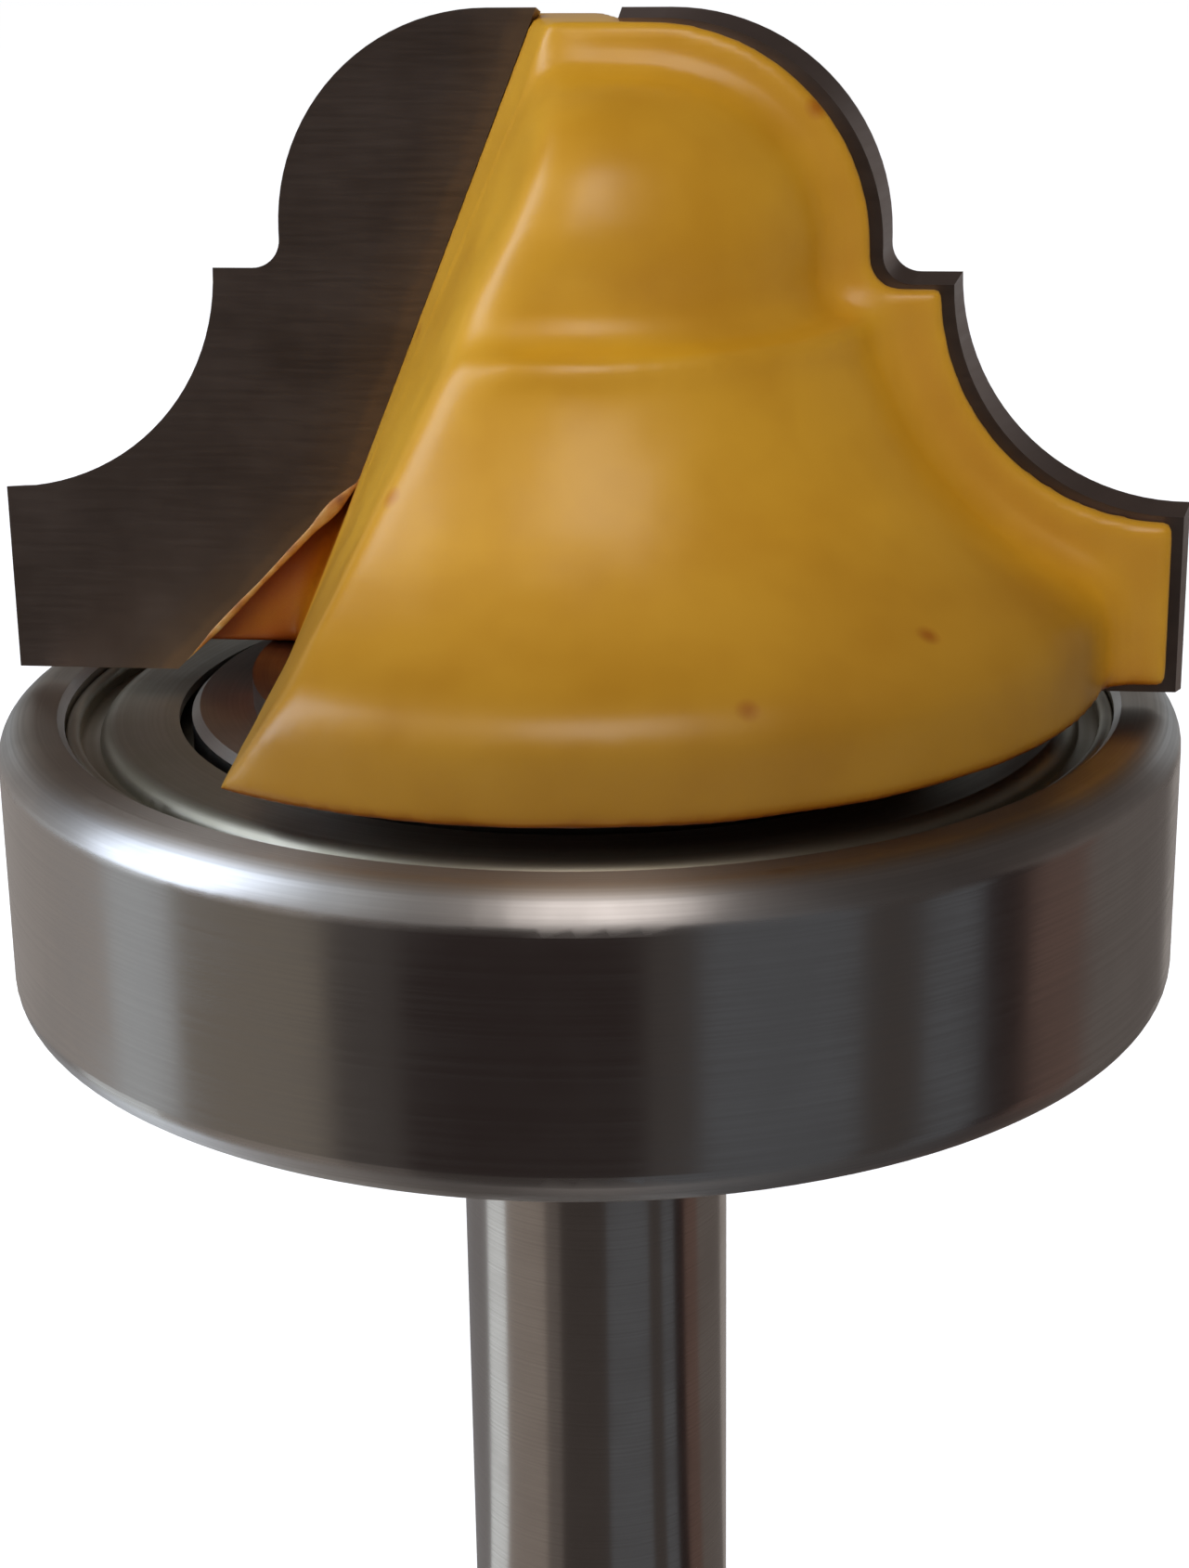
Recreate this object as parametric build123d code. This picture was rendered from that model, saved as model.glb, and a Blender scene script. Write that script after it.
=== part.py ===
from build123d import *
import os
from math import cos, sin, radians

# Profile router bit with a large guide bearing on its shank.
# Frame: origin at the centre of the shank's lower end, Z up along the axis of rotation,
# X along the two wings. All sizes are in millimetres.

# ---- heights along the axis ----
Z_BEARING = 42.0          # lower face of the guide bearing
BEARING_WIDTH = 12.7
Z_SEAT = Z_BEARING + BEARING_WIDTH          # upper face of the guide bearing
SPACER_THICK = 1.2
Z_HEAD = Z_SEAT + SPACER_THICK              # flat underside of the cutter head

# ---- cutting profile, heights measured from the bearing's upper face ----
CUT_RADIUS = 25.35        # outermost radius of the carbide edges
CUT_BOTTOM = 0.4          # the carbide clears the bearing by this much
CUT_TOP = 28.7
DOME_RADIUS = 9.0         # convex quarter round at the top
DOME_SIDE = 12.8          # where the quarter round has turned vertical
STEP_FILLET = 1.2
STEP_Z = 18.1             # small ledge between quarter round and cove
STEP_SIDE = 15.7
COVE_RADIUS = 9.55        # concave quarter round

# ---- carbide plates and wings ----
TIP_THICK = 1.5
TIP_INNER_TOP = 1.75      # inner edge of the plate at its top
TIP_KNEE = (9.86, 8.9)
TIP_FOOT = 18.2           # inner end of the plate's bottom edge
TIP_RELIEF = (0.35, 0.3)  # the plate's back face is this much smaller, sideways and in height
WING_BACK = 2.6           # back of each wing, measured from the rake plane
RELIEF_SIDE = 0.85        # the steel stays inside the carbide by this much
RELIEF_TOP = 0.4

# ---- core of the head ----
CORE_TOP = 26.3
CORE_DOME = 6.8
CORE_SIDE = 10.5
CORE_NECK_Z = 16.85       # where the side turns out into a narrow ledge
CORE_SHOULDER = (12.6, 16.75)
CORE_UPRIGHT = 1.1        # short upright face under the ledge, before the flare
CORE_FLARE_MID = (16.0, 9.7)
RIM_RADIUS = 22.3
RIM_TOP = 5.4
CORE_NECK_ROUND = 1.6     # concave turn above the ledge
CORE_SHOULDER_ROUND = 0.6
FLARE_ROUND = 1.6         # concave turn from the upright face into the flare
RIM_ROUND = 2.2           # between flare and rim
RIM_FOOT_ROUND = 0.5
WING_FILLET = 1.5         # where the backs of the wings meet the core

# ---- gullet: one wall that leans outward going down and twists slightly ----
GULLET_LEAN = 0.41        # outward shift per unit of height
GULLET_SKEW_LOW = 0.0
GULLET_SKEW_HIGH = 0.46

# ---- shank ----
SHANK_RADIUS = 6.0
SHANK_IN_HEAD = 11.3
SHANK_CHAMFER = 1.0
GRIP_TOP = 34.2           # the collet grips up to a shallow undercut below the lock collar
UNDERCUT = (1.0, 0.25)    # its width and depth

# ---- guide bearing ----
HALF = BEARING_WIDTH / 2
MIDDLE = Z_BEARING + HALF
OUTER_RADIUS = 25.4
BORE_RADIUS = 12.7
CORNER = 1.6
BORE_CORNER = 0.6
PITCH_RADIUS = 19.05
BALL_RADIUS = 3.97
BALL_COUNT = 9
BALL_PLAY = 0.03
GROOVE_RADIUS = 4.13
OUTER_LAND = 21.4
INNER_LAND = 17.15
INNER_CHAMFER = 0.35
RECESS_RADIUS = 22.55     # the shield is pressed into this recess
RECESS_DEPTH = 1.75
RECESS_CHAMFER = 0.3
SHIELD_THICK = 0.4
SHIELD_HOLE = 17.7
SHIELD_SINK = 0.45        # flat of the shield below the ring's face
SHIELD_FLAT = 20.3        # where the flat ends and turns down
SHIELD_SHOULDER = 0.8     # radius of that turn
SHIELD_BEAD = 0.33        # rolled bead along the recess wall
CAGE_THICK = 0.5
CAGE_INNER = 17.7
CAGE_OUTER = 20.5
POCKET_PLAY = 0.08
RIVET_RADIUS = 0.5
RIVET_FLANGE = 0.8
RIVET_HEAD = 0.3

# ---- parts that hold the bearing ----
SPACER_RADIUS = 14.5
BUSH_CHAMFER = 0.3
LOCK_WASHER_THICK = 1.0
COLLAR_RADIUS = 11.0
COLLAR_HEIGHT = 5.5
COLLAR_CHAMFER = 0.4
SCREW_RADIUS = 1.5
SCREW_LENGTH = 4.4
SOCKET_ACROSS = 1.5
SOCKET_DEPTH = 1.6
SCREW_ANGLES = (-90, 30)


def xz(r, z):
    return Vector(r, 0, z)


def closed(*edges):
    """Closed face in the XZ plane, drawn as (radius, height)."""
    return make_face(Wire(list(edges)))


def polygon(*points):
    return make_face(Polyline(*[xz(r, z) for r, z in points], close=True))


def arc(centre, radius, start, size):
    """Arc in the XZ plane, angles in degrees from +X toward +Z."""
    ends = [radians(start), radians(start + size / 2), radians(start + size)]
    return ThreePointArc(*[xz(centre[0] + radius * cos(a), centre[1] + radius * sin(a)) for a in ends])


def turned(face):
    return revolve(face, Axis.Z, 360)


def disc(radius, z0, z1):
    return Pos(0, 0, z0) * extrude(Circle(radius), z1 - z0)


def washer(radius, z0, z1, hole=SHANK_RADIUS):
    return disc(radius, z0, z1) - disc(hole, z0, z1)


def half_turn(shape):
    return Rot(0, 0, 180) * shape


def profile(inset_r, inset_z, bottom):
    """Edges of the cutting profile from the top of the dome down to the bottom corner."""
    z = Z_SEAT - inset_z
    side, step_side, outer = DOME_SIDE - inset_r, STEP_SIDE - inset_r, CUT_RADIUS - inset_r
    dome = (side - DOME_RADIUS, z + CUT_TOP - DOME_RADIUS)
    step = z + STEP_Z
    notch = (side + STEP_FILLET, step + STEP_FILLET)
    cove = (step_side + COVE_RADIUS, step)
    edges = [
        arc(dome, DOME_RADIUS, 90, -90),
        Line(xz(side, dome[1]), xz(side, notch[1])),
        arc(notch, STEP_FILLET, 180, 90),
        Line(xz(notch[0], step), xz(step_side, step)),
        arc(cove, COVE_RADIUS, 180, 90),
        Line(xz(cove[0], step - COVE_RADIUS), xz(outer, step - COVE_RADIUS)),
        Line(xz(outer, step - COVE_RADIUS), xz(outer, bottom)),
    ]
    return edges, xz(dome[0], z + CUT_TOP), xz(outer, bottom)


# ---------------------------------------------------------------- cutter head

def wings():
    """Both wings as one plate through the axis, before the gullets are cut."""
    edges, top, foot = profile(RELIEF_SIDE, RELIEF_TOP, Z_HEAD)
    axis_top, axis_foot = xz(0, top.Z), xz(0, Z_HEAD)
    face = closed(*edges, Line(foot, axis_foot), Line(axis_foot, axis_top), Line(axis_top, top))
    plate = extrude(face, amount=WING_BACK, both=True)
    return plate + half_turn(plate)


def core():
    """Turned middle of the head: dome, narrow ledge, upright face, and a flare that ends in a rim."""
    top, rim = Z_SEAT + CORE_TOP, Z_SEAT + RIM_TOP
    dome = (CORE_SIDE - CORE_DOME, top - CORE_DOME)
    neck = xz(CORE_SIDE, Z_SEAT + CORE_NECK_Z)
    shoulder = xz(CORE_SHOULDER[0], Z_SEAT + CORE_SHOULDER[1])
    flare_top, flare_foot = shoulder + xz(0, -CORE_UPRIGHT), xz(RIM_RADIUS, rim)
    flare_mid = xz(CORE_FLARE_MID[0], Z_SEAT + CORE_FLARE_MID[1])
    rim_foot = xz(RIM_RADIUS, Z_HEAD)
    face = closed(
        Line(xz(0, top), xz(dome[0], top)),
        arc(dome, CORE_DOME, 90, -90),
        Line(xz(CORE_SIDE, dome[1]), neck),
        Line(neck, shoulder),
        Line(shoulder, flare_top),
        ThreePointArc(flare_top, flare_mid, flare_foot),
        Line(flare_foot, rim_foot),
        Line(rim_foot, xz(0, Z_HEAD)),
        Line(xz(0, Z_HEAD), xz(0, top)),
    )
    for corner, radius in ((neck, CORE_NECK_ROUND), (shoulder, CORE_SHOULDER_ROUND), (flare_top, FLARE_ROUND),
                           (flare_foot, RIM_ROUND), (rim_foot, RIM_FOOT_ROUND)):
        face = fillet(face.vertices().sort_by_distance(corner)[0], radius)
    return turned(face)


def gullet():
    """Space in front of the -X wing, between its carbide seat and the gullet wall."""
    def outline(height, skew):
        wall = GULLET_LEAN * (height - TIP_KNEE[1]) - TIP_KNEE[0]
        seat, far, z = TIP_THICK, -40, Z_SEAT + height
        return make_face(Polyline(
            (wall, seat, z), (wall, 0, z), (wall - skew * far, far, z),
            (-60, far, z), (-60, seat, z), close=True))
    return loft([outline(-2, GULLET_SKEW_LOW), outline(32, GULLET_SKEW_HIGH)], ruled=True)


def cutter_head():
    middle, plates, waste = core(), wings(), gullet()
    joined = middle + plates
    seams = new_edges(middle, plates, combined=joined)
    joined = fillet([e for e in seams if e.center().Z > Z_HEAD + 0.01], WING_FILLET)
    bore = disc(SHANK_RADIUS, Z_HEAD, Z_HEAD + SHANK_IN_HEAD)
    return joined - waste - half_turn(waste) - bore


def carbide_tip():
    """Plate on the -X wing: rake face at Y = 0, a smaller back face on the seat."""
    def outline(inset_r, inset_z):
        edges, top, foot = profile(inset_r, inset_z, Z_SEAT + CUT_BOTTOM + inset_z)
        corners = [foot, xz(TIP_FOOT, foot.Z), xz(TIP_KNEE[0], Z_SEAT + TIP_KNEE[1]),
                   xz(TIP_INNER_TOP, top.Z), top]
        return closed(*edges, *[Line(a, b) for a, b in zip(corners, corners[1:])])
    front = outline(0, 0)
    back = Pos(0, -TIP_THICK, 0) * outline(*TIP_RELIEF)
    return half_turn(loft([front, back], ruled=True))


# -------------------------------------------------------------- shank and bush

def shank():
    """Round bar; its lower stretch is the grip for the collet."""
    bar = disc(SHANK_RADIUS, 0, Z_HEAD + SHANK_IN_HEAD)
    bar = chamfer(bar.edges().group_by(Axis.Z)[0], SHANK_CHAMFER)
    width, depth = UNDERCUT
    return bar - washer(SHANK_RADIUS, GRIP_TOP, GRIP_TOP + width, SHANK_RADIUS - depth)


def bush():
    """Sleeve that carries the bearing on the thinner shank."""
    body = disc(BORE_RADIUS, Z_BEARING, Z_SEAT)
    body = chamfer(body.edges().filter_by(GeomType.CIRCLE), BUSH_CHAMFER)
    return body - disc(SHANK_RADIUS, Z_BEARING, Z_SEAT)


def on_collar(angle):
    """Axis of a clamp screw: local Z points out of the collar."""
    middle = Z_BEARING - LOCK_WASHER_THICK - COLLAR_HEIGHT / 2
    return Pos(0, 0, middle) * Rot(0, 0, angle) * Rot(0, 90, 0)


def lock_collar():
    top = Z_BEARING - LOCK_WASHER_THICK
    body = disc(COLLAR_RADIUS, top - COLLAR_HEIGHT, top)
    body = chamfer(body.edges().filter_by(GeomType.CIRCLE), COLLAR_CHAMFER)
    body -= disc(SHANK_RADIUS, top - COLLAR_HEIGHT, top)
    for angle in SCREW_ANGLES:
        body -= on_collar(angle) * Pos(0, 0, SHANK_RADIUS / 2) * extrude(
            Circle(SCREW_RADIUS), COLLAR_RADIUS)
    return body


def clamp_screw(angle):
    """Headless screw with a hexagon socket, its point on the shank."""
    rod = extrude(Circle(SCREW_RADIUS), SCREW_LENGTH)
    rod = chamfer(rod.edges().group_by(Axis.Z)[-1], 0.2)
    rod = chamfer(rod.edges().group_by(Axis.Z)[0], 0.5)
    socket = Pos(0, 0, SCREW_LENGTH - SOCKET_DEPTH) * extrude(
        RegularPolygon(SOCKET_ACROSS / 2, 6, major_radius=False), SOCKET_DEPTH)
    return on_collar(angle) * Pos(0, 0, SHANK_RADIUS) * (rod - socket)


# --------------------------------------------------------------- guide bearing

def ball_at(index):
    turn = Rot(0, 0, 360 / BALL_COUNT * index)
    return turn * Pos(PITCH_RADIUS, 0, MIDDLE)


def raceway(groove_centre):
    """Torus that cuts a raceway, its section centred at this radius."""
    section = Plane.XZ * Pos(groove_centre, MIDDLE) * Circle(GROOVE_RADIUS)
    return turned(section)


def outer_ring():
    face = polygon((OUTER_LAND, -HALF + RECESS_DEPTH), (RECESS_RADIUS, -HALF + RECESS_DEPTH),
                   (RECESS_RADIUS, -HALF), (OUTER_RADIUS, -HALF), (OUTER_RADIUS, HALF),
                   (RECESS_RADIUS, HALF), (RECESS_RADIUS, HALF - RECESS_DEPTH),
                   (OUTER_LAND, HALF - RECESS_DEPTH))
    body = Pos(0, 0, MIDDLE) * turned(face)
    circles = body.edges().filter_by(GeomType.CIRCLE)
    lips = [e for e in circles.group_by(Axis.Z)[0] + circles.group_by(Axis.Z)[-1]
            if e.radius < RECESS_RADIUS + 0.01]
    body = chamfer(lips, RECESS_CHAMFER)
    rims = [e for e in body.edges().filter_by(GeomType.CIRCLE) if e.radius > OUTER_RADIUS - 0.01]
    body = fillet(rims, CORNER)
    return body - raceway(PITCH_RADIUS + BALL_RADIUS + BALL_PLAY - GROOVE_RADIUS)


def inner_ring():
    face = polygon((BORE_RADIUS, -HALF), (INNER_LAND, -HALF), (INNER_LAND, HALF), (BORE_RADIUS, HALF))
    body = Pos(0, 0, MIDDLE) * turned(face)
    bore = [e for e in body.edges().filter_by(GeomType.CIRCLE) if e.radius < BORE_RADIUS + 0.01]
    body = fillet(bore, BORE_CORNER)
    land = [e for e in body.edges().filter_by(GeomType.CIRCLE) if e.radius > INNER_LAND - 0.01]
    body = chamfer(land, INNER_CHAMFER)
    return body - raceway(PITCH_RADIUS - BALL_RADIUS - BALL_PLAY + GROOVE_RADIUS)


def shield(side):
    """Pressed sheet shield: flat web, rounded shoulder, valley, and a bead along the recess wall."""
    flat, foot, t, turn = HALF - SHIELD_SINK, HALF - RECESS_DEPTH, SHIELD_THICK, SHIELD_SHOULDER
    valley = flat - turn
    bead = RECESS_RADIUS - SHIELD_BEAD
    crown = valley + t
    face = closed(
        Line(xz(SHIELD_HOLE, flat), xz(SHIELD_FLAT, flat)),
        arc((SHIELD_FLAT, valley), turn, 90, -90),
        Line(xz(SHIELD_FLAT + turn, valley), xz(bead - SHIELD_BEAD, valley)),
        Line(xz(bead - SHIELD_BEAD, valley), xz(bead - SHIELD_BEAD, crown)),
        arc((bead, crown), SHIELD_BEAD, 180, -180),
        Line(xz(RECESS_RADIUS, crown), xz(RECESS_RADIUS, foot)),
        Line(xz(RECESS_RADIUS, foot), xz(SHIELD_FLAT + turn - t, foot)),
        Line(xz(SHIELD_FLAT + turn - t, foot), xz(SHIELD_FLAT + turn - t, valley)),
        arc((SHIELD_FLAT, valley), turn - t, 0, 90),
        Line(xz(SHIELD_FLAT, flat - t), xz(SHIELD_HOLE, flat - t)),
        Line(xz(SHIELD_HOLE, flat - t), xz(SHIELD_HOLE, flat)),
    )
    body = turned(face)
    return Pos(0, 0, MIDDLE) * (body if side > 0 else mirror(body, Plane.XY))


def cage_half(side):
    """Ribbon half: a flat ring with a pocket around each ball."""
    reach = BALL_RADIUS + POCKET_PLAY
    spaces = [ball_at(i) for i in range(BALL_COUNT)]
    band = washer(CAGE_OUTER, MIDDLE, MIDDLE + HALF, CAGE_INNER)
    bulges = Part() + [place * Sphere(reach + CAGE_THICK) for place in spaces]
    cage = washer(CAGE_OUTER, MIDDLE, MIDDLE + CAGE_THICK, CAGE_INNER) + (bulges & band)
    for place in spaces:
        cage -= place * Sphere(reach)
    for place in rivet_places():
        cage -= place * Cylinder(RIVET_RADIUS, 2 * CAGE_THICK)
    return cage if side > 0 else mirror(cage, Plane.XY.offset(MIDDLE))


def rivet_places():
    step = 360 / BALL_COUNT
    return [Rot(0, 0, step * (i + 0.5)) * Pos(PITCH_RADIUS, 0, MIDDLE) for i in range(BALL_COUNT)]


def cage_rivets():
    """One rivet between each pair of balls, through both halves, with a flat head on each side."""
    rivet = Cylinder(RIVET_RADIUS, 2 * CAGE_THICK)
    for side in (-1, 1):
        rivet += Pos(0, 0, side * (CAGE_THICK + RIVET_HEAD / 2)) * Cylinder(RIVET_FLANGE, RIVET_HEAD)
    return [place * rivet for place in rivet_places()]


def assembly():
    lock_top = Z_BEARING - LOCK_WASHER_THICK
    tip = carbide_tip()
    nodes = {
        "cutter_head": cutter_head(),
        "carbide_tip_1": tip,
        "carbide_tip_2": half_turn(tip),
        "shank": shank(),
        "bearing_bush": bush(),
        "spacer_washer": washer(SPACER_RADIUS, Z_SEAT, Z_HEAD),
        "lock_washer": washer(SPACER_RADIUS, lock_top, Z_BEARING),
        "lock_collar": lock_collar(),
        "outer_ring": outer_ring(),
        "inner_ring": inner_ring(),
        "shield_top": shield(1),
        "shield_bottom": shield(-1),
        "cage_top": cage_half(1),
        "cage_bottom": cage_half(-1),
        "cage_rivets": Compound(children=cage_rivets()),
    }
    for i, angle in enumerate(SCREW_ANGLES, 1):
        nodes[f"clamp_screw_{i}"] = clamp_screw(angle)
    for i in range(BALL_COUNT):
        nodes[f"ball_{i + 1:02d}"] = ball_at(i) * Sphere(BALL_RADIUS)
    return nodes


if __name__ == "__main__":
    os.makedirs("parts", exist_ok=True)
    for name, shape in assembly().items():
        export_step(shape, f"parts/{name}.step")
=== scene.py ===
import math

import bpy
from mathutils import Matrix, Vector, noise

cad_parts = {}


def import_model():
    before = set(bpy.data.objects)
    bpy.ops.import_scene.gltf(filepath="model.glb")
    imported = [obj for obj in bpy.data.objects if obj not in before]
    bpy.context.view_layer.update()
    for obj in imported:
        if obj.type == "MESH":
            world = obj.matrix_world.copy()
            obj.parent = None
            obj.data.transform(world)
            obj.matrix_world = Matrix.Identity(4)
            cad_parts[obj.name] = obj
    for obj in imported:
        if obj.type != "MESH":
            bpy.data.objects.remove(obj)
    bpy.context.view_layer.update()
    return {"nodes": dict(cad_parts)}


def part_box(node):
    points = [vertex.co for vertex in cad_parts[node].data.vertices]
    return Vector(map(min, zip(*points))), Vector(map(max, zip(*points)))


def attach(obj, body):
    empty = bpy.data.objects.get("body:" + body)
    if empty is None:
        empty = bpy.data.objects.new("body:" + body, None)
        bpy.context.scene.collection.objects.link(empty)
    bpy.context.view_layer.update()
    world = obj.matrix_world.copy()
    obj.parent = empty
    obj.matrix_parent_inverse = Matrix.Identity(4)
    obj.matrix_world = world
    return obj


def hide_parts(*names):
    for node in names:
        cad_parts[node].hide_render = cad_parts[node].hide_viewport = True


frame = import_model()

MM = 0.001
NODES = frame["nodes"]
Z_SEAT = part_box("spacer_washer")[0].z / MM      # upper face of the guide bearing
FRONT = -83.2869                                # degrees, the side of the bit that faces the camera

# the gullet wall and the carbide's inner edge, in mm, heights above the bearing's upper face
KNEE = (9.86, 8.9)
PLATE_FOOT = (18.2, 0.4)           # where the inner edge ends, at the carbide's foot
WALL_LEAN = 0.41                   # shift of the wall per mm of height
FOOT_LEAN = 0.981                  # the same for the inner edge below the knee
WALL_FOOT, WALL_HEAD = -2, 32      # the heights between which the wall twists
WALL_SKEW = 0.46                   # the twist at its head, in mm per mm from the wings' middle plane
SEAT_DEPTH = 1.6                   # from the wings' middle plane to just past the carbide's seat
RIM_TOP = 5.4                      # the rim's upper edge, at the foot of the flare
SHADE_SPAN = 30                    # height in mm over which the painted shade on the enamel fades out, upward from the foot


def put(name, data):
    """New object with that data, in the scene."""
    made = bpy.data.objects.new(name, data)
    bpy.context.scene.collection.objects.link(made)
    return made


def clamp(value, low=0.0, high=1.0):
    return min(max(value, low), high)


# ------------------------------------------------------------------ camera

def aim(place, forward, roll):
    """Matrix of a camera at a place, looking forward, turned about its own line of sight."""
    forward = forward.normalized()
    right = forward.cross(Vector((0, 0, 1))).normalized()
    up = right.cross(forward)
    turned = Matrix.Rotation(roll, 3, forward)
    axes = Matrix((turned @ right, turned @ up, -forward)).transposed()
    return Matrix.Translation(place) @ axes.to_4x4()


def add_camera():
    """Camera in front of the bit and a little above it, looking down."""
    distance, height = 127.0 * MM, 94.008 * MM
    pitch, roll = -0.33228, 0.0146          # radians
    turn = math.radians(FRONT)
    lens = bpy.data.cameras.new("camera")
    lens.sensor_fit = "VERTICAL"
    lens.sensor_height = 36
    lens.lens = 70.17
    lens.shift_x = 0.00277
    lens.clip_start, lens.clip_end = 0.005, 20
    camera = put("camera", lens)
    out = Vector((math.cos(turn), math.sin(turn), 0))
    look = Vector((-out.x * math.cos(pitch), -out.y * math.cos(pitch), math.sin(pitch)))
    camera.matrix_world = aim(out * distance + Vector((0, 0, height)), look, roll)
    bpy.context.scene.camera = camera


# --------------------------------------------------------------- materials

def rgb(hex_colour):
    """sRGB hex to linear RGBA."""
    parts = [int(hex_colour[i:i + 2], 16) / 255 for i in (1, 3, 5)]
    return [c / 12.92 if c <= 0.04045 else ((c + 0.055) / 1.055) ** 2.4 for c in parts] + [1.0]


def node(tree, kind, inputs=None, stops=(), **settings):
    """Adds a shader node. inputs maps a socket to a value, or to another node or socket to link from;
    stops are a colour ramp's positions, each with a hex colour or a grey value."""
    made = tree.nodes.new(kind)
    for name, value in settings.items():
        setattr(made, name, value)
    for name, value in (inputs or {}).items():
        if isinstance(value, bpy.types.Node):
            value = value.outputs[0]
        if isinstance(value, bpy.types.NodeSocket):
            tree.links.new(value, made.inputs[name])
        else:
            made.inputs[name].default_value = value
    if stops:
        band = made.color_ramp
        while len(band.elements) < len(stops):
            band.elements.new(0.5)
        for element, (position, colour) in zip(band.elements, stops):
            element.position = position
            element.color = rgb(colour) if isinstance(colour, str) else [colour] * 3 + [1]
    return made


def new_tree(name):
    """New material with an empty node tree, and that tree."""
    made = bpy.data.materials.new(name)
    made.use_nodes = True
    made.node_tree.nodes.clear()
    return made, made.node_tree


def in_mm(tree):
    """Place on the object in millimetres, in the part's own frame."""
    place = node(tree, "ShaderNodeTexCoord").outputs["Object"]
    return node(tree, "ShaderNodeVectorMath", {0: place, "Scale": 1 / MM}, operation="SCALE")


def past_inner_edge(tree, place):
    """Distance in mm outward from the line of the carbide's inner edge, the same on both wings."""
    xyz = node(tree, "ShaderNodeSeparateXYZ", {0: place}).outputs
    out = node(tree, "ShaderNodeMath", {0: xyz["X"]}, operation="ABSOLUTE")
    below = node(tree, "ShaderNodeMath", {0: Z_SEAT + KNEE[1], 1: xyz["Z"]}, operation="SUBTRACT")
    wall = node(tree, "ShaderNodeMath", {0: below, 1: WALL_LEAN}, operation="MULTIPLY")
    foot = node(tree, "ShaderNodeMath", {0: below, 1: FOOT_LEAN}, operation="MULTIPLY")
    edge = node(tree, "ShaderNodeMath", {0: wall, 1: foot}, operation="MAXIMUM")
    line = node(tree, "ShaderNodeMath", {0: edge, 1: KNEE[0]}, operation="ADD")
    return node(tree, "ShaderNodeMath", {0: out, 1: line}, operation="SUBTRACT")


def yellow_enamel():
    """Stoving enamel: an even gloss skin, with painted shade that darkens it toward the foot on the core and
    rim, and red brown painted shade in its corners and recesses low down, from ambient occlusion, and a few
    pits from dust."""
    made, tree = new_tree("yellow_stoving_enamel")
    place = in_mm(tree)
    xyz = node(tree, "ShaderNodeSeparateXYZ", {0: place}).outputs
    above = node(tree, "ShaderNodeMapRange", {0: xyz["Z"], 1: Z_SEAT, 2: Z_SEAT + SHADE_SPAN})
    off_wing = node(tree, "ShaderNodeMath", {0: xyz["Y"]}, operation="ABSOLUTE")
    on_core = node(tree, "ShaderNodeMapRange", {0: off_wing, 1: 3.5, 2: 7.0})     # mm off the middle plane
    cloud = node(tree, "ShaderNodeTexNoise", {"Vector": place, "Scale": 1 / 7, "Detail": 3.0})
    body = node(tree, "ShaderNodeValToRGB", {0: cloud}, stops=((0.35, "#d1951c"), (0.65, "#e0a524")))
    # painted shade: the enamel darkens toward the foot, most on the rim below about 4 mm and gone by about 10
    # mm, only away from the wings' middle plane
    painted_foot_shade = node(tree, "ShaderNodeValToRGB", {0: above},
                   stops=((0.14, "#cdcac6"), (0.22, "#e2dedb"), (0.34, "#ffffff")))
    coat = node(tree, "ShaderNodeMix", {0: on_core, 6: body, 7: painted_foot_shade},
                data_type="RGBA", blend_type="MULTIPLY")
    # painted shade: where ambient occlusion finds corners and recesses the enamel turns darker red brown,
    # fully below about 8 mm above the bearing, a fifth as much higher up
    corner = node(tree, "ShaderNodeAmbientOcclusion", {"Distance": 3.0 * MM}, samples=8)
    painted_corner_shade = node(tree, "ShaderNodeValToRGB", {0: corner.outputs["AO"]},
                  stops=((0.25, "#b4700c"), (0.55, "#d89a2c"), (0.85, "#ffffff")))
    low = node(tree, "ShaderNodeValToRGB", {0: above}, stops=((0.27, 1.0), (0.36, 0.2)))
    brown = node(tree, "ShaderNodeMix", {0: low, 6: coat.outputs[2], 7: painted_corner_shade},
                 data_type="RGBA", blend_type="MULTIPLY")
    dust = node(tree, "ShaderNodeTexVoronoi", {"Vector": place, "Scale": 1 / 6.5})
    pits = node(tree, "ShaderNodeValToRGB", {0: dust.outputs["Distance"]},
                stops=((0.02, "#e0bd86"), (0.09, "#ffffff")))
    colour = node(tree, "ShaderNodeMix", {0: 1.0, 6: brown.outputs[2], 7: pits},
                  data_type="RGBA", blend_type="MULTIPLY")
    peel = node(tree, "ShaderNodeTexNoise", {"Vector": place, "Scale": 1 / 1.4, "Detail": 2.0})
    gloss = node(tree, "ShaderNodeValToRGB", {0: cloud}, stops=((0.3, 0.31), (0.7, 0.38)))
    skin = node(tree, "ShaderNodeBump", {"Height": peel, "Distance": 0.008 * MM})
    dents = node(tree, "ShaderNodeBump", {"Height": pits, "Distance": 0.02 * MM, "Normal": skin})
    shader = node(tree, "ShaderNodeBsdfPrincipled", {
        "Base Color": colour.outputs[2], "Roughness": gloss, "IOR": 1.5, "Normal": dents})
    node(tree, "ShaderNodeOutputMaterial", {"Surface": shader})
    return made


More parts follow.
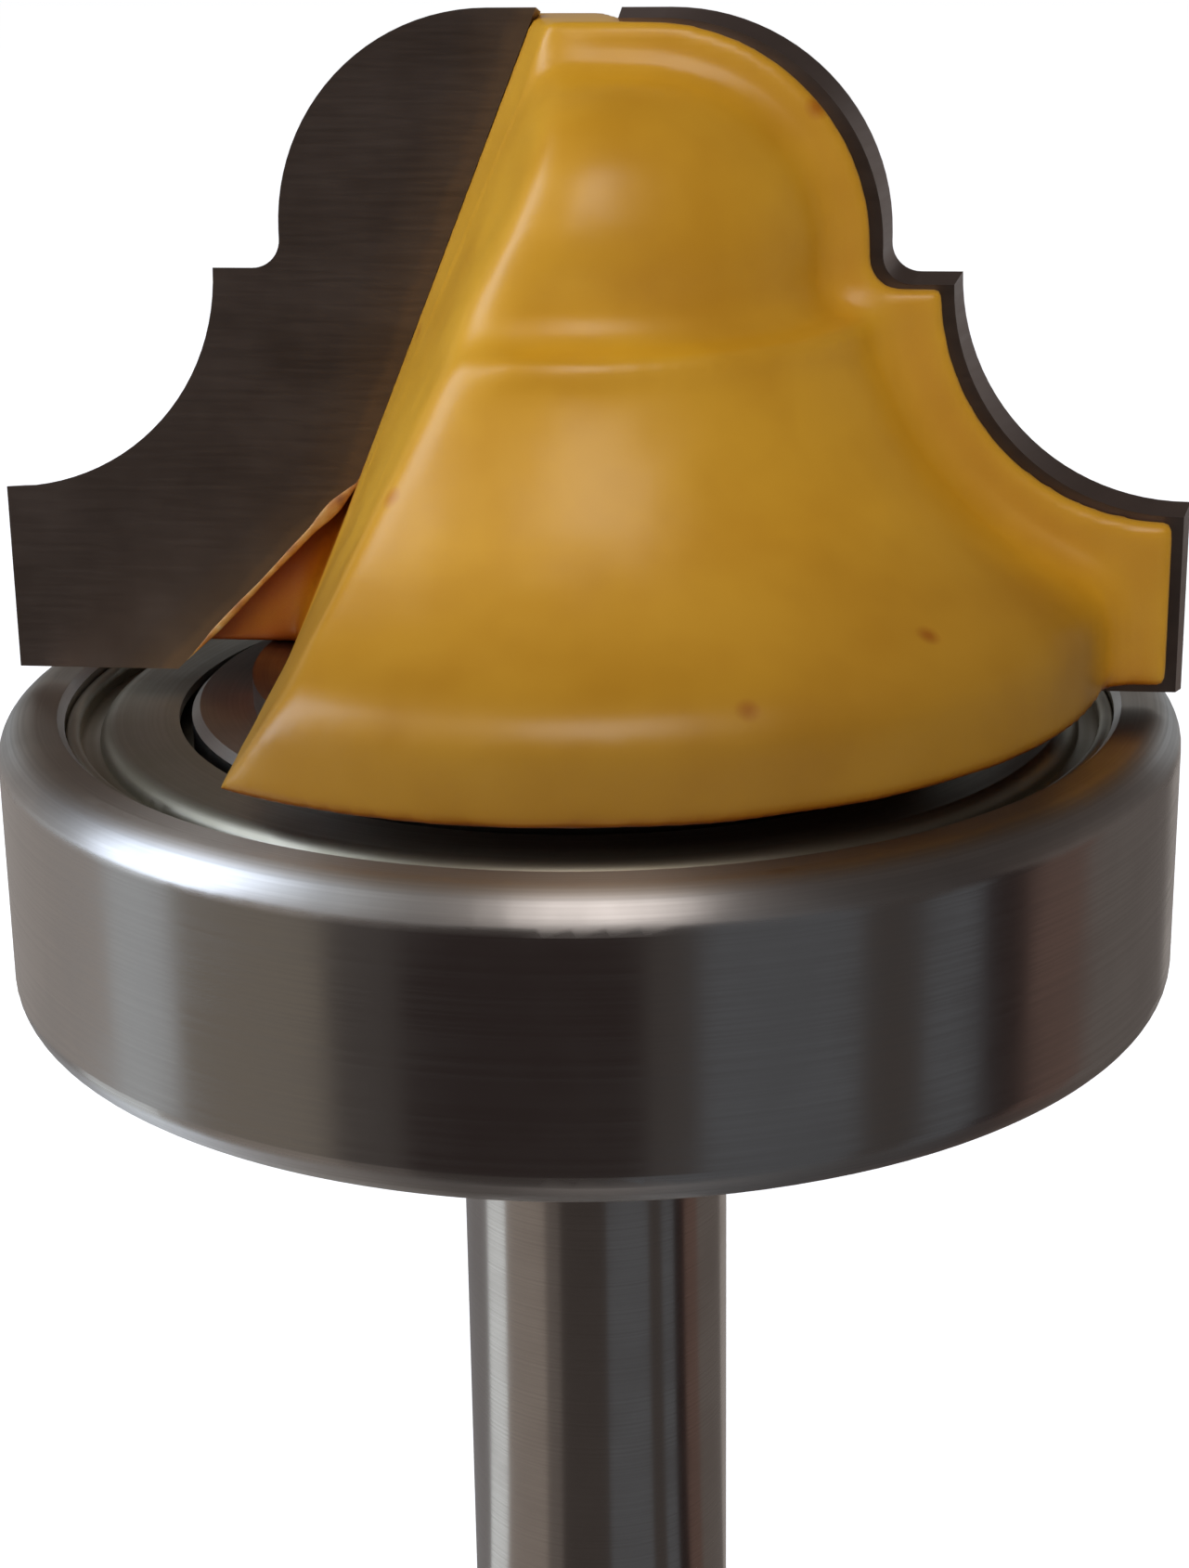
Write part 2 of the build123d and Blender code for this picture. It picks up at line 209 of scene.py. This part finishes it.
def ground_carbide():
    """Cemented carbide, diamond ground: a dark dull grey with fine lines along the plate, its ground edge
    faces made lighter as a painted reflection, and a light brown heat tint that fades away from the brazed
    edge."""
    made, tree = new_tree("ground_carbide")
    place = in_mm(tree)
    cloud = node(tree, "ShaderNodeTexNoise", {"Vector": place, "Scale": 1 / 5, "Detail": 3.0})
    tone = node(tree, "ShaderNodeValToRGB", {0: cloud}, stops=((0.35, "#6c6059"), (0.65, "#7e726b")))
    ragged = node(tree, "ShaderNodeTexNoise", {"Vector": place, "Scale": 1 / 1.6, "Detail": 4.0})
    edge = node(tree, "ShaderNodeMath", {0: past_inner_edge(tree, place), 1: ragged}, operation="SUBTRACT")
    away = node(tree, "ShaderNodeMapRange", {0: edge, 1: 0, 2: 2.5})
    heat = node(tree, "ShaderNodeValToRGB", {0: away}, stops=((0.0, 0.4), (0.2, 0.18), (1.0, 0.0)))
    colour = node(tree, "ShaderNodeMix", {0: heat, 6: tone, 7: rgb("#b8956c")}, data_type="RGBA")
    normal = node(tree, "ShaderNodeNewGeometry").outputs["Normal"]
    outward = node(tree, "ShaderNodeSeparateXYZ", {0: normal})
    flat = node(tree, "ShaderNodeMath", {0: outward.outputs["Y"]}, operation="ABSOLUTE")
    # painted reflection: faces of the plate that do not face forward or back, its ground edges, get a lighter
    # colour standing in for the bright surroundings they mirror
    painted_edge_reflection = node(tree, "ShaderNodeValToRGB", {0: flat}, stops=((0.5, 1.0), (0.8, 0.0)))
    finished = node(tree, "ShaderNodeMix", {0: painted_edge_reflection, 6: colour.outputs[2], 7: rgb("#a8968d")},
                    data_type="RGBA")
    stretched = node(tree, "ShaderNodeMapping", {0: place, "Scale": (0.3, 0.3, 5.0)})
    lines = node(tree, "ShaderNodeTexNoise", {"Vector": stretched, "Scale": 1.0, "Detail": 2.0})
    gloss = node(tree, "ShaderNodeValToRGB", {0: lines}, stops=((0.3, 0.38), (0.7, 0.44)))
    relief = node(tree, "ShaderNodeBump", {"Height": lines, "Distance": 0.0008 * MM})
    shader = node(tree, "ShaderNodeBsdfPrincipled", {
        "Base Color": finished.outputs[2], "Roughness": gloss, "Metallic": 1.0, "Normal": relief})
    node(tree, "ShaderNodeOutputMaterial", {"Surface": shader})
    return made


def turned_steel(name, light, dark, sheen, lines_mm, depth, face="#ffffff", dull=0.0):
    """Steel ground or turned about the axis: fine lines run round it, lines_mm apart and depth mm deep, and
    draw its reflections out across them. Corners and faces square to the axis are rougher by dull, and
    those faces take the tint of old oil from face."""
    made, tree = new_tree(name)
    place = in_mm(tree)
    sideways = node(tree, "ShaderNodeVectorMath", {0: place, 1: (1, 1, 0)}, operation="MULTIPLY")
    radius = node(tree, "ShaderNodeVectorMath", {0: sideways}, operation="LENGTH").outputs["Value"]
    height = node(tree, "ShaderNodeSeparateXYZ", {0: place}).outputs["Z"]
    section = node(tree, "ShaderNodeCombineXYZ", {"X": radius, "Y": height})
    lines = node(tree, "ShaderNodeTexNoise", {"Vector": section, "Scale": 1 / lines_mm, "Detail": 3.0})
    cloud = node(tree, "ShaderNodeTexNoise", {"Vector": place, "Scale": 1 / 4, "Detail": 3.0})
    mixed = node(tree, "ShaderNodeMath", {0: lines, 1: cloud}, operation="MULTIPLY")
    tone = node(tree, "ShaderNodeValToRGB", {0: mixed}, stops=((0.15, dark), (0.35, light)))
    normal = node(tree, "ShaderNodeNewGeometry").outputs["Normal"]
    outward = node(tree, "ShaderNodeSeparateXYZ", {0: normal})
    level = node(tree, "ShaderNodeMath", {0: outward.outputs["Z"]}, operation="ABSOLUTE")
    square = node(tree, "ShaderNodeValToRGB", {0: level}, stops=((0.75, 0.0), (0.98, 1.0)))
    oiled = node(tree, "ShaderNodeMix", {0: square, 6: tone, 7: rgb(face)},
                 data_type="RGBA", blend_type="MULTIPLY")
    gloss = node(tree, "ShaderNodeValToRGB", {0: mixed}, stops=((0.15, sheen + 0.06), (0.35, sheen)))
    unpolished = node(tree, "ShaderNodeValToRGB", {0: level}, stops=((0.08, 0.0), (0.3, 1.0)))
    rougher = node(tree, "ShaderNodeMath", {0: unpolished, 1: dull, 2: gloss}, operation="MULTIPLY_ADD")
    relief = node(tree, "ShaderNodeBump", {"Height": lines, "Distance": depth * MM})
    drawn = node(tree, "ShaderNodeMapRange", {0: unpolished, 1: 0, 2: 1, 3: 0.4, 4: 0.4 + 2.2 * dull})
    around = node(tree, "ShaderNodeTangent", direction_type="RADIAL", axis="Z")
    shader = node(tree, "ShaderNodeBsdfPrincipled", {
        "Base Color": oiled.outputs[2], "Roughness": rougher, "Metallic": 1.0, "Anisotropic": drawn,
        "Anisotropic Rotation": 0.25, "Tangent": around, "Normal": relief})
    node(tree, "ShaderNodeOutputMaterial", {"Surface": shader})
    return made


def lapped_steel():
    """Bearing balls, lapped: bright mirrors without any direction."""
    made, tree = new_tree("lapped_ball_steel")
    cloud = node(tree, "ShaderNodeTexNoise", {"Vector": in_mm(tree), "Scale": 1 / 2, "Detail": 3.0})
    tone = node(tree, "ShaderNodeValToRGB", {0: cloud}, stops=((0.35, "#bcbcbe"), (0.65, "#c6c6c8")))
    gloss = node(tree, "ShaderNodeValToRGB", {0: cloud}, stops=((0.3, 0.06), (0.7, 0.12)))
    shader = node(tree, "ShaderNodeBsdfPrincipled", {"Base Color": tone, "Roughness": gloss, "Metallic": 1.0})
    node(tree, "ShaderNodeOutputMaterial", {"Surface": shader})
    return made


def braze_and_flux():
    """Silver braze with burnt flux and enamel over it: a rough orange bead, brown and ochre in places."""
    made, tree = new_tree("braze_with_burnt_flux")
    place = in_mm(tree)
    lumps = node(tree, "ShaderNodeTexNoise", {"Vector": place, "Scale": 1 / 1.3, "Detail": 4.0})
    colour = node(tree, "ShaderNodeValToRGB", {0: lumps},
                  stops=((0.3, "#8a4e1a"), (0.45, "#b8782a"), (0.6, "#c8964a"), (0.72, "#cbb486")))
    gloss = node(tree, "ShaderNodeValToRGB", {0: lumps}, stops=((0.3, 0.6), (0.7, 0.38)))
    relief = node(tree, "ShaderNodeBump", {"Height": lumps, "Distance": 0.05 * MM})
    shader = node(tree, "ShaderNodeBsdfPrincipled", {
        "Base Color": colour, "Roughness": gloss, "Metallic": 0.0, "IOR": 1.5, "Normal": relief})
    node(tree, "ShaderNodeOutputMaterial", {"Surface": shader})
    return made


def dress(names, material):
    """Gives every slot of those nodes the material."""
    for name in names:
        for slot in NODES[name].material_slots:
            slot.material = material


# ------------------------------------------------------------ cutter head

def wall_distance(point):
    """Sideways distance in mm from the gullet wall, the same on both sides of the bit."""
    x, y, height = point.x / MM, point.y / MM, point.z / MM - Z_SEAT
    if y > SEAT_DEPTH or (y > -SEAT_DEPTH and x > 0):
        x, y = -x, -y
    skew = WALL_SKEW * (height - WALL_FOOT) / (WALL_HEAD - WALL_FOOT)
    wall = WALL_LEAN * (height - KNEE[1]) - KNEE[0] - skew * y
    return abs(x - wall)


def flow(point):
    """How far the wet enamel has rounded a place, 0 to 1: most at the gullet's upper edge and where it
    pools in the recess under the knee, some on the rim, a little on the core, hardly along the wings'
    outline. Lengths are in mm."""
    height, from_wall = point.z / MM - Z_SEAT, wall_distance(point)
    under_back, fade = 2.4, 0.8                     # the wings' backs are at 2.6 from the middle plane
    core = clamp((abs(point.y) / MM - under_back) / fade)
    wall = clamp(1.7 - from_wall / 1.4) * clamp((height - 6) / 9, 0.2)      # full within 1 mm of the wall
    rim = 0.6 * max(0.0, 1.0 - abs(height - RIM_TOP) / 3)
    low = clamp((height - 1.2) / 1.5, 0.08)         # the foot keeps its form
    pool_top, pool_reach = KNEE[1] - 1.2, 2.6
    recess = (1.0 - core) * low if height < pool_top and from_wall < pool_reach else 0.0
    least, on_core = 0.04, 0.08
    return max(least, core * max(on_core, wall, rim) * low, recess)


def worked_in(piece):
    """New mesh of the piece with its modifiers worked in, which it then no longer has."""
    bpy.context.view_layer.update()
    mesh = bpy.data.meshes.new_from_object(
        piece.evaluated_get(bpy.context.evaluated_depsgraph_get()))
    piece.modifiers.clear()
    return mesh


def enamelled_head(material):
    """The head with its skin of enamel: the solid's own form with its edges rounded by the paint, and a
    faint ripple on the core."""
    mesh = NODES["cutter_head"].data.copy()
    mesh.name = "enamelled_head"
    piece = put("enamelled_head", mesh)
    remesh = piece.modifiers.new("skin", "REMESH")
    remesh.mode = "VOXEL"
    remesh.voxel_size = 0.3 * MM
    remesh.use_smooth_shade = True
    piece.data = worked_in(piece)
    places = [v.co.copy() for v in piece.data.vertices]
    run = piece.vertex_groups.new(name="flow")
    for index, place in enumerate(places):
        run.add([index], flow(place), "REPLACE")
    smooth = piece.modifiers.new("flow", "SMOOTH")
    smooth.factor, smooth.iterations, smooth.vertex_group = 0.5, 90, "flow"
    done = worked_in(piece)
    piece.vertex_groups.clear()
    piece.data = done
    off_wing, broad, fine, depth = 2.9 * MM, 4.0 * MM, 1.7 * MM, 0.05
    skin = [(v.co.copy(), v.normal.copy()) for v in done.vertices]
    for vertex, (place, outward) in zip(done.vertices, skin):
        if abs(place.y) > off_wing:
            ripple = noise.noise(place / broad) + 0.4 * noise.noise(place / fine)
            vertex.co = place + outward * depth * MM * (ripple - 0.7)
    done.materials.clear()
    done.materials.append(material)
    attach(piece, "cutter")
    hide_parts("cutter_head")


def braze_bead(name, side, material):
    """Thin uneven bead along one carbide's inner edge: braze that has run out, with a lump at the knee."""
    inset = 0.4                 # mm that it ends short of the plate's foot
    reach = 0.8                 # mm that it runs up the wall above the knee
    spacing = 0.25              # mm from one section to the next
    sunk = 0.02                 # mm that its edges lie under the surface
    corners = [Vector((PLATE_FOOT[0] - inset, 0, Z_SEAT + PLATE_FOOT[1] + inset)),
               Vector((KNEE[0], 0, Z_SEAT + KNEE[1])),
               Vector((KNEE[0] - WALL_LEAN * reach, 0, Z_SEAT + KNEE[1] + reach))]
    line = []
    for a, b in zip(corners, corners[1:]):
        steps = round((b - a).length / spacing)
        line += [a.lerp(b, i / steps) for i in range(steps)]
    line.append(corners[-1])
    points, faces, sides = [], [], 9
    for number, place in enumerate(line):
        along = (line[min(number + 1, len(line) - 1)] - line[max(number - 1, 0)]).normalized()
        across = along.cross(Vector((0, 1, 0)))
        lump = noise.noise(place * 0.3 + Vector((3, 0, 0))) + 0.25 * noise.noise(place * 0.9)
        taper = min(1.0, number / 8 + 0.1, (len(line) - 1 - number) / 14 + 0.05)
        knee = 0.3 * math.exp(-((place.x - KNEE[0] - 0.9) / 0.8) ** 2)
        width = max(0.08, 0.13 + 0.1 * lump + knee) * taper
        height = max(0.04, 0.07 + 0.08 * lump + 0.4 * knee) * taper
        for k in range(sides):
            turn = math.pi * k / (sides - 1)
            spot = place + across * width * math.cos(turn) - Vector((0, height * math.sin(turn) - sunk, 0))
            points.append(Vector((-spot.x, spot.y, spot.z)) * MM)
    for i in range(len(line) - 1):
        for k in range(sides):
            a, b = i * sides + k, i * sides + (k + 1) % sides
            faces.append((a, b, b + sides, a + sides))
    faces.append(tuple(range(sides)))
    faces.append(tuple(range(len(points) - sides, len(points)))[::-1])
    if side > 0:
        points = [Vector((-p.x, -p.y, p.z)) for p in points]
    mesh = bpy.data.meshes.new(name)
    mesh.from_pydata(points, [], faces)
    mesh.shade_smooth()
    mesh.materials.append(material)
    piece = put(name, mesh)
    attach(piece, "cutter")


# ------------------------------------------------------------------- stage

def stage_mesh(name, points, faces, material):
    mesh = bpy.data.meshes.new(name)
    mesh.from_pydata(points, [], faces)
    mesh.materials.append(material)
    piece = put(name, mesh)
    return piece


def seen_directly(tree):
    """1 for camera, mirror and transmission rays, 0 for the light that falls on things."""
    path = node(tree, "ShaderNodeLightPath").outputs
    mirror = node(tree, "ShaderNodeMath", {0: path["Is Glossy Ray"], 1: path["Is Transmission Ray"]},
                  operation="MAXIMUM")
    return node(tree, "ShaderNodeMath", {0: path["Is Camera Ray"], 1: mirror}, operation="MAXIMUM")


def floor():
    """Matt white paper, lifted to white where it is seen."""
    made, tree = new_tree("white_paper")
    paper = node(tree, "ShaderNodeBsdfDiffuse", {"Color": rgb("#efefef")})
    lift = node(tree, "ShaderNodeMath", {0: seen_directly(tree), 1: 0.75}, operation="MULTIPLY")
    glow = node(tree, "ShaderNodeEmission", {"Color": rgb("#ffffff"), "Strength": lift})
    both = node(tree, "ShaderNodeAddShader", {0: paper, 1: glow})
    node(tree, "ShaderNodeOutputMaterial", {"Surface": both})
    size, level = 3.0, -0.05 * MM
    corners = [(-size, -size, level), (size, -size, level), (size, size, level), (-size, size, level)]
    stage_mesh("floor", corners, [(0, 1, 2, 3)], made)


TONES = {"silver": "#dfe6ea", "white": "#d8dcde", "pale": "#a9adb0", "grey": "#98928e", "stone": "#8b837d",
         "ash": "#7c7a7b", "taupe": "#736c63", "umber": "#62504a", "slate": "#585a5e", "dim": "#66605d",
         "dark": "#443f3d", "black": "#2c2423"}
CARDS = [
    # from, to in degrees round the axis (0 faces the camera, + to the right), then the tone of each tier:
    # on the floor, a low wall, up to 17 degrees above the horizon, up to 60 degrees, overhead
    (-180, -140, "ash", "grey", "pale", "dim", "dark"),
    (-140, -120, "ash", "grey", "grey", "dark", "dark"),
    (-120, -108, "ash", "grey", "pale", "grey", "dim"),
    (-108, -92, "silver", "grey", "pale", "pale", "dim"),
    (-92, -84, "silver", "pale", "white", "white", "dim"),
    (-84, -75, "stone", "pale", "white", "white", "dim"),
    (-75, -44, "stone", "taupe", "grey", "white", "dim"),
    (-44, -31, "dim", "dark", "dim", "grey", "dim"),
    (-31, -20, "dark", "black", "dark", "grey", "dim"),
    (-20, 8, "dark", "black", "dark", "grey", "dim"),
    (8, 17, "slate", "dark", "dark", "dim", "dark"),
    (17, 44, "slate", "slate", "slate", "dim", "dark"),
    (44, 56, "dark", "dark", "dark", "dark", "dark"),
    (56, 68, "slate", "slate", "dark", "dark", "dark"),
    (68, 79, "black", "black", "black", "dark", "dark"),
    (79, 95, "umber", "umber", "dim", "dark", "dark"),
    (95, 135, "dim", "dim", "dim", "dark", "dark"),
    (135, 180, "grey", "grey", "pale", "dark", "dark"),
]
TIERS = [[(9, 0.2), (95, 0.5)], [(95, 0.5), (100, 38)], [(100, 38), (1500, 38), (1500, 500)],
         [(1500, 500), (1100, 1900)], [(1100, 1900), (0, 2200)]]      # mm from the axis, height


def card(tone):
    """Glowing panel, one tone all over, in place of a grey card: it shines by emission."""
    name = "card_" + tone
    made = bpy.data.materials.get(name)
    if made is None:
        made, tree = new_tree(name)
        glow = node(tree, "ShaderNodeEmission", {"Color": rgb(TONES[tone]), "Strength": 1.0})
        node(tree, "ShaderNodeOutputMaterial", {"Surface": glow})
    return made


def cards():
    """Glowing panels round and over the bit, in place of the grey cards a studio puts up for polished steel:
    only mirror rays see them, so they show only in reflections.
    """
    facet = 6                   # degrees
    for number, (start, end, *tones) in enumerate(CARDS):
        steps = max(2, round((end - start) / facet))
        for tier, (wall, tone) in enumerate(zip(TIERS, tones)):
            points, faces = [], []
            for i in range(steps + 1):
                turn = math.radians(FRONT + start + (end - start) * i / steps)
                points += [(r * MM * math.cos(turn), r * MM * math.sin(turn), z * MM) for r, z in wall]
            for i in range(steps):
                for j in range(len(wall) - 1):
                    a = i * len(wall) + j
                    faces.append((a, a + 1, a + len(wall) + 1, a + len(wall)))
            piece = stage_mesh(f"card_{number:02d}_{tier}", points, faces, card(tone))
            piece.visible_camera = piece.visible_diffuse = False
            piece.visible_shadow = piece.visible_transmission = False


def softbox(name, azimuth, elevation, distance, size, power, colour):
    """Area lamp aimed at the bit: angles in degrees, azimuth as for the cards, lengths in m, power in W."""
    lamp = bpy.data.lights.new(name, "AREA")
    lamp.shape, lamp.size, lamp.size_y = "RECTANGLE", size[0], size[1]
    lamp.energy = power
    lamp.color = rgb(colour)[:3]
    made = put(name, lamp)
    turn, lift = math.radians(FRONT + azimuth), math.radians(elevation)
    away = Vector((math.cos(turn) * math.cos(lift), math.sin(turn) * math.cos(lift), math.sin(lift)))
    target = Vector((0, 0, 60 * MM))
    made.matrix_world = aim(target + away * distance, -away, 0.0)


def world():
    """Pale even fill for the object, plain white where it is seen."""
    made = bpy.data.worlds.new("studio")
    made.use_nodes = True
    tree = made.node_tree
    tree.nodes.clear()
    fill = node(tree, "ShaderNodeBackground", {"Color": rgb("#f2f2f4"), "Strength": 0.3})
    white = node(tree, "ShaderNodeBackground", {"Color": rgb("#ffffff"), "Strength": 1.0})
    mixed = node(tree, "ShaderNodeMixShader", {0: seen_directly(tree), 1: fill, 2: white})
    node(tree, "ShaderNodeOutputWorld", {"Surface": mixed})
    bpy.context.scene.world = made


add_camera()
enamel = yellow_enamel()
carbide = ground_carbide()
ring_steel = turned_steel("superfinished_ring_steel", "#d0ccc8", "#c6c2be",
                          sheen=0.18, lines_mm=0.12, depth=0.0001, face="#d9cdbf", dull=0.22)
shank_steel = turned_steel("ground_shank_steel", "#d2ccc6", "#c6bfb9",
                           sheen=0.16, lines_mm=0.12, depth=0.0003)
sheet_steel = turned_steel("pressed_sheet_steel", "#a8a294", "#96907e",
                           sheen=0.4, lines_mm=0.3, depth=0.001)
mild_steel = turned_steel("turned_mild_steel", "#8a8683", "#757170",
                          sheen=0.3, lines_mm=0.25, depth=0.004)
black_oxide = turned_steel("black_oxide_steel", "#2c2c30", "#222226",
                           sheen=0.35, lines_mm=0.25, depth=0.003)
ball_steel = lapped_steel()

dress(["cutter_head"], enamel)
dress(["carbide_tip_1", "carbide_tip_2"], carbide)
dress(["outer_ring", "inner_ring"], ring_steel)
dress(["shank"], shank_steel)
dress(["shield_top", "shield_bottom", "cage_top", "cage_bottom", "cage_rivets"], sheet_steel)
dress(["bearing_bush", "spacer_washer", "lock_washer"], mild_steel)
dress([name for name in NODES if name.startswith("ball_")], ball_steel)
dress(["lock_collar", "clamp_screw_1", "clamp_screw_2"], black_oxide)
enamelled_head(enamel)
braze = braze_and_flux()
braze_bead("braze_bead_1", -1, braze)
braze_bead("braze_bead_2", 1, braze)

floor()
cards()
softbox("key", azimuth=2, elevation=46, distance=0.5, size=(0.22, 0.3), power=0.8, colour="#fff8f6")
softbox("window", azimuth=-86, elevation=23, distance=0.6, size=(0.36, 0.6), power=2.6, colour="#d8e8ff")
world()

bpy.context.scene.view_settings.view_transform = "Standard"
